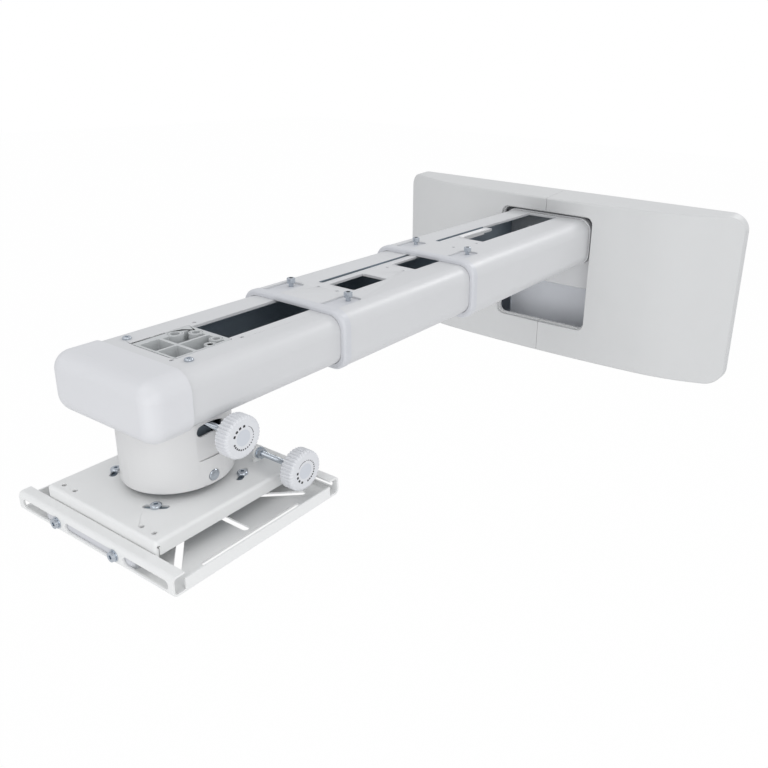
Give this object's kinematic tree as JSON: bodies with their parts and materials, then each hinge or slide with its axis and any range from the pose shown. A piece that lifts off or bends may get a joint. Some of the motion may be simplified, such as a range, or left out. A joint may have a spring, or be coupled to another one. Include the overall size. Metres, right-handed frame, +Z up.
{
  "type": "projector wall mount",
  "caption": "Wall mount for a short-throw projector: covered wall plate, telescopic arm and a head that tilts, rolls and turns over a sliding tray.",
  "frame": {"origin": "centre of the wall plate's rear face, on the wall", "axes": "+Y into the wall, +Z up, +X to the right along the wall; the arm reaches towards -Y"},
  "size_m": [0.466, 0.6777, 0.208],
  "materials": {
    "cover_plastic": "satin",
    "arm_paint": "satin",
    "moulding": "satin",
    "knob_plastic": "satin",
    "zinc_steel": "zinc plated",
    "grey_block": "matt",
    "white_clip": "matt",
    "inner_steel": "dark satin"
  },
  "bodies": {
    "wall": {"wall_plate": "arm_paint", "guide_rail_left": "zinc_steel", "guide_rail_right": "zinc_steel", "cover_left": "cover_plastic", "cover_right": "cover_plastic"},
    "arm": {"carriage": "inner_steel", "arm_root": "arm_paint", "outer_tube": "arm_paint", "cable_clip": "white_clip", "collar_outer": "moulding", "clamp_screws_outer": "zinc_steel"},
    "middle": {"middle_tube": "arm_paint", "collar_middle": "moulding", "clamp_screws_middle": "zinc_steel", "glide_middle": "moulding"},
    "nose": {"inner_tube": "arm_paint", "glide_inner": "moulding", "end_cap": "moulding", "cable_block": "grey_block", "cap_screws": "zinc_steel", "tilt_housing": "moulding", "tilt_pins": "zinc_steel"},
    "tilt": {"tilt_ring": "inner_steel", "roll_pin": "zinc_steel"},
    "roll": {"roll_post": "inner_steel", "turntable": "inner_steel", "head_bolts": "zinc_steel"},
    "roll_dial": {"roll_knob": "knob_plastic", "roll_screw": "zinc_steel"},
    "head": {"head_plate": "arm_paint", "slide_bar_front": "moulding", "slide_bar_rear": "moulding", "rail_screws": "zinc_steel", "rail_washers": "zinc_steel", "yaw_nut": "zinc_steel"},
    "yaw_dial": {"yaw_knob": "knob_plastic", "yaw_screw": "zinc_steel"},
    "tray": {"tray": "arm_paint"}
  },
  "joints": [
    {"name": "arm_lift", "type": "slide", "parent": "wall", "child": "arm", "axis": [0, 0, 1], "range_m": [-0.077, 0]},
    {"name": "middle_slide", "type": "slide", "parent": "arm", "child": "middle", "axis": [0, -1, 0], "range_m": [-0.1386, 0.055]},
    {"name": "nose_slide", "type": "slide", "parent": "middle", "child": "nose", "axis": [0, -1, 0], "range_m": [-0.0715, 0.055]},
    {"name": "tilt_turn", "type": "hinge", "parent": "nose", "child": "tilt", "pos_m": [0, -0.6035, -0.013], "axis": [1, 0, 0], "range_deg": [-5, 5]},
    {"name": "roll_turn", "type": "hinge", "parent": "tilt", "child": "roll", "pos_m": [0, -0.6035, -0.013], "axis": [0, 1, 0], "range_deg": [-2.86, 2.86]},
    {"name": "roll_dial_turn", "type": "hinge", "parent": "tilt", "child": "roll_dial", "pos_m": [0, -0.6005, 0.022], "axis": [1, 0, 0], "range_deg": [-900, 900]},
    {"name": "yaw_turn", "type": "hinge", "parent": "roll", "child": "head", "pos_m": [0, -0.6035, -0.024], "axis": [0, 0, 1], "range_deg": [-4.5, 4.5]},
    {"name": "yaw_dial_turn", "type": "hinge", "parent": "head", "child": "yaw_dial", "pos_m": [0, -0.559, -0.0175], "axis": [1, 0, 0], "range_deg": [-1800, 1800]},
    {"name": "tray_slide", "type": "slide", "parent": "head", "child": "tray", "axis": [1, 0, 0], "range_m": [0, 0.037]}
  ],
  "couplings": [
    {"joint": "roll_dial_turn", "follows": "roll_turn", "ratio": -314.16},
    {"joint": "yaw_dial_turn", "follows": "yaw_turn", "ratio": -399.43}
  ]
}
